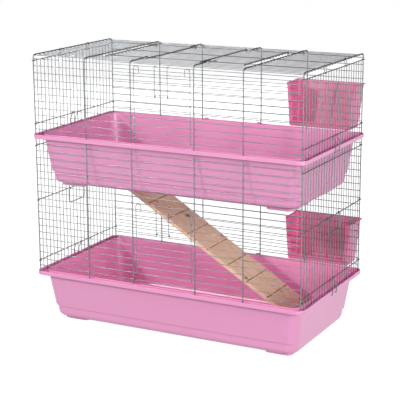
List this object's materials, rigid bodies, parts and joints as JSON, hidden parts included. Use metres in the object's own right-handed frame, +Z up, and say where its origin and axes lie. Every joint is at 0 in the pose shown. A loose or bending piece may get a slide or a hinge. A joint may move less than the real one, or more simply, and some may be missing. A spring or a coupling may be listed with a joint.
{
  "type": "rabbit cage",
  "caption": "Two-storey rabbit cage with stacked deep plastic trays, welded wire walls, hinged doors, hay racks and a wooden ramp between the floors.",
  "frame": {"origin": "on the floor, under the middle of the whole cage with its hay racks", "axes": "+X along the cage to the right as seen from the front, +Y to the back, +Z up"},
  "size_m": [0.997, 0.6152, 0.9225],
  "materials": {
    "tray_plastic": "smooth moulded pink polypropylene",
    "rack_plastic": "smooth moulded deep pink polypropylene",
    "zinc_wire": "bright zinc plate",
    "pine": "planed bare pine"
  },
  "bodies": {
    "cage": {"lower_tray": "tray_plastic", "upper_tray": "tray_plastic", "lower_front_panel": "zinc_wire", "lower_back_panel": "zinc_wire", "lower_left_panel": "zinc_wire", "lower_right_panel": "zinc_wire", "upper_front_panel": "zinc_wire", "upper_back_panel": "zinc_wire", "upper_left_panel": "zinc_wire", "upper_right_panel": "zinc_wire", "roof_panel": "zinc_wire", "end_links": "zinc_wire", "back_links": "zinc_wire"},
    "upper_door": {"upper_front_door": "zinc_wire"},
    "upper_latch": {"upper_door_latch": "zinc_wire"},
    "lower_door": {"lower_front_door": "zinc_wire"},
    "lower_latch": {"lower_door_latch": "zinc_wire"},
    "roof_door": {"top_door": "zinc_wire"},
    "roof_latch_left": {"top_door_latch_left": "zinc_wire"},
    "roof_latch_right": {"top_door_latch_right": "zinc_wire"},
    "clip_upper_left": {"upper_left_clip": "zinc_wire"},
    "clip_upper_right": {"upper_right_clip": "zinc_wire"},
    "clip_lower_left": {"lower_left_clip": "zinc_wire"},
    "clip_lower_right": {"lower_right_clip": "zinc_wire"},
    "handle_left": {"left_carry_handle": "zinc_wire"},
    "handle_right": {"right_carry_handle": "zinc_wire"},
    "rack_upper": {"upper_hay_rack": "rack_plastic"},
    "rack_lower": {"lower_hay_rack": "rack_plastic"},
    "ramp": {"ramp_board": "pine", "ramp_hooks": "zinc_wire"}
  },
  "joints": [
    {"name": "upper_door_hinge", "type": "hinge", "parent": "cage", "child": "upper_door", "pos_m": [0, -0.29243, 0.6695], "axis": [1, 0, 0], "range_deg": [0, 110]},
    {"name": "upper_latch_pivot", "type": "hinge", "parent": "upper_door", "child": "upper_latch", "pos_m": [0, -0.29755, 0.8105], "axis": [1, 0, 0], "range_deg": [0, 60]},
    {"name": "lower_door_hinge", "type": "hinge", "parent": "cage", "child": "lower_door", "pos_m": [0, -0.29243, 0.2195], "axis": [1, 0, 0], "range_deg": [0, 110]},
    {"name": "lower_latch_pivot", "type": "hinge", "parent": "lower_door", "child": "lower_latch", "pos_m": [0, -0.29755, 0.3605], "axis": [1, 0, 0], "range_deg": [0, 60]},
    {"name": "roof_door_hinge", "type": "hinge", "parent": "cage", "child": "roof_door", "pos_m": [0, 0.11785, 0.91478], "axis": [-1, 0, 0], "range_deg": [0, 105]},
    {"name": "roof_latch_left_pivot", "type": "hinge", "parent": "roof_door", "child": "roof_latch_left", "pos_m": [-0.114, -0.16415, 0.91506], "axis": [-1, 0, 0], "range_deg": [0, 100]},
    {"name": "roof_latch_right_pivot", "type": "hinge", "parent": "roof_door", "child": "roof_latch_right", "pos_m": [0.114, -0.16415, 0.91506], "axis": [-1, 0, 0], "range_deg": [0, 100]},
    {"name": "clip_upper_left_pivot", "type": "hinge", "parent": "cage", "child": "clip_upper_left", "pos_m": [-0.48665, -0.04665, 0.6865], "axis": [0, 1, 0], "range_deg": [0, 100]},
    {"name": "clip_upper_right_pivot", "type": "hinge", "parent": "cage", "child": "clip_upper_right", "pos_m": [0.48665, -0.04665, 0.6865], "axis": [0, -1, 0], "range_deg": [0, 100]},
    {"name": "clip_lower_left_pivot", "type": "hinge", "parent": "cage", "child": "clip_lower_left", "pos_m": [-0.48665, -0.04665, 0.213], "axis": [0, 1, 0], "range_deg": [0, 100]},
    {"name": "clip_lower_right_pivot", "type": "hinge", "parent": "cage", "child": "clip_lower_right", "pos_m": [0.48665, -0.04665, 0.213], "axis": [0, -1, 0], "range_deg": [0, 100]},
    {"name": "handle_left_swing", "type": "hinge", "parent": "cage", "child": "handle_left", "pos_m": [-0.48665, -0.04665, 0.4245], "axis": [0, 1, 0], "range_deg": [0, 120]},
    {"name": "handle_right_swing", "type": "hinge", "parent": "cage", "child": "handle_right", "pos_m": [0.48665, -0.04665, 0.4245], "axis": [0, -1, 0], "range_deg": [0, 120]},
    {"name": "rack_upper_lift", "type": "slide", "parent": "cage", "child": "rack_upper", "axis": [0, 0, 1], "range_m": [0, 0.012]},
    {"name": "rack_lower_lift", "type": "slide", "parent": "cage", "child": "rack_lower", "axis": [0, 0, 1], "range_m": [0, 0.012]},
    {"name": "ramp_lift", "type": "slide", "parent": "cage", "child": "ramp", "axis": [0, 0, 1], "range_m": [0, 0.02]}
  ]
}
